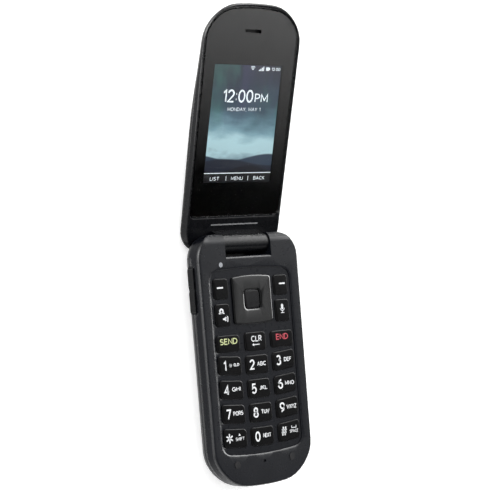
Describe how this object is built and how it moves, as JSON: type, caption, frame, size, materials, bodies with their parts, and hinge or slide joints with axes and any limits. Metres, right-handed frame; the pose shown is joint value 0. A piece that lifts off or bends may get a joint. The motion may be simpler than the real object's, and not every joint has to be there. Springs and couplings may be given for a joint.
{
  "type": "flip phone",
  "caption": "Clamshell mobile phone: a hinged lid with main and outer displays and a camera, a base with number keypad, navigation ring, side volume keys and a removable battery.",
  "frame": {"origin": "middle of the base's flat back, on the outer face of the battery cover", "axes": "+X to the right of the keypad, +Y along the base towards the hinge, +Z out of the keypad; the lid stands open at 164 degrees from closed"},
  "size_m": [0.0554, 0.1976, 0.034],
  "materials": {
    "shell_plastic": "soft-touch charcoal, fine moulded grain",
    "lid_plastic": "satin charcoal",
    "key_plastic": "smooth near-black with printed legends",
    "nav_plastic": "satin dark grey",
    "spring_steel": "bright",
    "rocker_plastic": "satin",
    "battery_case": "can in a dark printed wrap",
    "contact_gold": "gold plated",
    "board": "green solder mask",
    "shield_metal": "tinned",
    "dome_film": "clear film over steel domes",
    "silicone": "matt",
    "card_plastic": "plain",
    "jack_plastic": "moulded black",
    "weight_metal": "sintered tungsten",
    "light_pipe": "frosted",
    "bumper_rubber": "matt",
    "screw_steel": "dark plated",
    "hinge_steel": "plain",
    "flex_film": "amber film with copper tracks",
    "lens_black": "hard-coated, printed black behind",
    "clear_window": "clear acrylic",
    "display_glass": "display with a lit picture",
    "camera_trim": "ring round a clear lens",
    "legend_print": "printed legends and thin light trim"
  },
  "bodies": {
    "base": {"front_shell": "shell_plastic", "rear_shell": "shell_plastic", "battery_contacts": "contact_gold", "main_board": "board", "shield_cans": "shield_metal", "dome_sheet": "dome_film", "key_mat": "silicone", "sim_holder": "shield_metal", "sim_card": "card_plastic", "usb_port": "shield_metal", "headset_jack": "jack_plastic", "loudspeaker": "jack_plastic", "microphone": "shield_metal", "vibration_motor": "shield_metal", "antenna": "jack_plastic", "side_key_board": "board", "status_led": "light_pipe", "bumpers": "bumper_rubber", "base_screws": "screw_steel", "hinge_shaft": "hinge_steel"},
    "lid": {"lid_inner_shell": "lid_plastic", "lid_outer_shell": "lid_plastic", "display_lens": "lens_black", "display_module": "display_glass", "outer_lens": "lens_black", "outer_display": "display_glass", "camera_module": "jack_plastic", "camera_lens": "camera_trim", "earpiece": "jack_plastic", "lid_board": "board", "lid_screws": "screw_steel", "hinge_can": "hinge_steel", "hinge_spring": "spring_steel", "hinge_flex": "flex_film"},
    "cover": {"battery_cover": "shell_plastic"},
    "battery": {"battery_pack": "battery_case"},
    "motor_weight": {"vibration_weight": "weight_metal"},
    "rocker": {"volume_rocker": "rocker_plastic"},
    "nav_pad": {"nav_pad": "spring_steel"},
    "nav_ring": {"nav_ring": "nav_plastic"},
    "key_1": {"key_1": "key_plastic"},
    "key_2": {"key_2": "key_plastic"},
    "key_3": {"key_3": "key_plastic"},
    "key_4": {"key_4": "key_plastic"},
    "key_5": {"key_5": "key_plastic"},
    "key_6": {"key_6": "key_plastic"},
    "key_7": {"key_7": "key_plastic"},
    "key_8": {"key_8": "key_plastic"},
    "key_9": {"key_9": "key_plastic"},
    "key_star": {"key_star": "key_plastic"},
    "key_0": {"key_0": "key_plastic"},
    "key_hash": {"key_hash": "key_plastic"},
    "key_send": {"key_send": "key_plastic"},
    "key_clear": {"key_clear": "key_plastic"},
    "key_end": {"key_end": "key_plastic"},
    "soft_key_left": {"soft_key_left": "key_plastic"},
    "soft_key_right": {"soft_key_right": "key_plastic"},
    "camera_key": {"camera_key": "key_plastic"},
    "voice_key": {"voice_key": "key_plastic"},
    "ok_key": {"ok_key": "nav_plastic"}
  },
  "joints": [
    {"name": "lid_hinge", "type": "hinge", "parent": "base", "child": "lid", "pos_m": [0, 0.0481, 0.00555], "axis": [1, 0, 0], "range_deg": [0, 164]},
    {"name": "key_1_press", "type": "slide", "parent": "base", "child": "key_1", "axis": [0, 0, -1], "range_m": [0, 0.0003], "stiffness_N_per_m": 4000, "springref_m": -0.0001},
    {"name": "key_2_press", "type": "slide", "parent": "base", "child": "key_2", "axis": [0, 0, -1], "range_m": [0, 0.0003], "stiffness_N_per_m": 4000, "springref_m": -0.0001},
    {"name": "key_3_press", "type": "slide", "parent": "base", "child": "key_3", "axis": [0, 0, -1], "range_m": [0, 0.0003], "stiffness_N_per_m": 4000, "springref_m": -0.0001},
    {"name": "key_4_press", "type": "slide", "parent": "base", "child": "key_4", "axis": [0, 0, -1], "range_m": [0, 0.0003], "stiffness_N_per_m": 4000, "springref_m": -0.0001},
    {"name": "key_5_press", "type": "slide", "parent": "base", "child": "key_5", "axis": [0, 0, -1], "range_m": [0, 0.0003], "stiffness_N_per_m": 4000, "springref_m": -0.0001},
    {"name": "key_6_press", "type": "slide", "parent": "base", "child": "key_6", "axis": [0, 0, -1], "range_m": [0, 0.0003], "stiffness_N_per_m": 4000, "springref_m": -0.0001},
    {"name": "key_7_press", "type": "slide", "parent": "base", "child": "key_7", "axis": [0, 0, -1], "range_m": [0, 0.0003], "stiffness_N_per_m": 4000, "springref_m": -0.0001},
    {"name": "key_8_press", "type": "slide", "parent": "base", "child": "key_8", "axis": [0, 0, -1], "range_m": [0, 0.0003], "stiffness_N_per_m": 4000, "springref_m": -0.0001},
    {"name": "key_9_press", "type": "slide", "parent": "base", "child": "key_9", "axis": [0, 0, -1], "range_m": [0, 0.0003], "stiffness_N_per_m": 4000, "springref_m": -0.0001},
    {"name": "key_star_press", "type": "slide", "parent": "base", "child": "key_star", "axis": [0, 0, -1], "range_m": [0, 0.0003], "stiffness_N_per_m": 4000, "springref_m": -0.0001},
    {"name": "key_0_press", "type": "slide", "parent": "base", "child": "key_0", "axis": [0, 0, -1], "range_m": [0, 0.0003], "stiffness_N_per_m": 4000, "springref_m": -0.0001},
    {"name": "key_hash_press", "type": "slide", "parent": "base", "child": "key_hash", "axis": [0, 0, -1], "range_m": [0, 0.0003], "stiffness_N_per_m": 4000, "springref_m": -0.0001},
    {"name": "key_send_press", "type": "slide", "parent": "base", "child": "key_send", "axis": [0, 0, -1], "range_m": [0, 0.0003], "stiffness_N_per_m": 4000, "springref_m": -0.0001},
    {"name": "key_clear_press", "type": "slide", "parent": "base", "child": "key_clear", "axis": [0, 0, -1], "range_m": [0, 0.0003], "stiffness_N_per_m": 4000, "springref_m": -0.0001},
    {"name": "key_end_press", "type": "slide", "parent": "base", "child": "key_end", "axis": [0, 0, -1], "range_m": [0, 0.0003], "stiffness_N_per_m": 4000, "springref_m": -0.0001},
    {"name": "soft_key_left_press", "type": "slide", "parent": "base", "child": "soft_key_left", "axis": [0, 0, -1], "range_m": [0, 0.0003], "stiffness_N_per_m": 4000, "springref_m": -0.0001},
    {"name": "soft_key_right_press", "type": "slide", "parent": "base", "child": "soft_key_right", "axis": [0, 0, -1], "range_m": [0, 0.0003], "stiffness_N_per_m": 4000, "springref_m": -0.0001},
    {"name": "camera_key_press", "type": "slide", "parent": "base", "child": "camera_key", "axis": [0, 0, -1], "range_m": [0, 0.0003], "stiffness_N_per_m": 4000, "springref_m": -0.0001},
    {"name": "voice_key_press", "type": "slide", "parent": "base", "child": "voice_key", "axis": [0, 0, -1], "range_m": [0, 0.0003], "stiffness_N_per_m": 4000, "springref_m": -0.0001},
    {"name": "ok_key_press", "type": "slide", "parent": "base", "child": "ok_key", "axis": [0, 0, -1], "range_m": [0, 0.0003], "stiffness_N_per_m": 4000, "springref_m": -0.0001},
    {"name": "nav_up_down", "type": "hinge", "parent": "base", "child": "nav_pad", "pos_m": [0, 0.0245, 0.0091], "axis": [1, 0, 0], "range_deg": [-0.9, 0.9], "stiffness_Nm_per_rad": 0.7},
    {"name": "nav_left_right", "type": "hinge", "parent": "nav_pad", "child": "nav_ring", "pos_m": [0, 0.0245, 0.0091], "axis": [0, 1, 0], "range_deg": [-0.9, 0.9], "stiffness_Nm_per_rad": 0.7},
    {"name": "volume_tilt", "type": "hinge", "parent": "base", "child": "rocker", "pos_m": [-0.0261, 0.02985, 0.0052], "axis": [0, 0, 1], "range_deg": [-2, 2], "stiffness_Nm_per_rad": 0.17},
    {"name": "cover_off", "type": "slide", "parent": "base", "child": "cover", "axis": [0, 0, -1], "range_m": [0, 0.015]},
    {"name": "battery_out", "type": "slide", "parent": "base", "child": "battery", "axis": [0, 0, -1], "range_m": [0, 0.0075]},
    {"name": "motor_spin", "type": "hinge", "parent": "base", "child": "motor_weight", "pos_m": [-0.0132, 0.0307, 0.00395], "axis": [1, 0, 0], "continuous": true}
  ],
  "couplings": [
    {"joint": "battery_out", "follows": "cover_off", "ratio": 0.5}
  ]
}
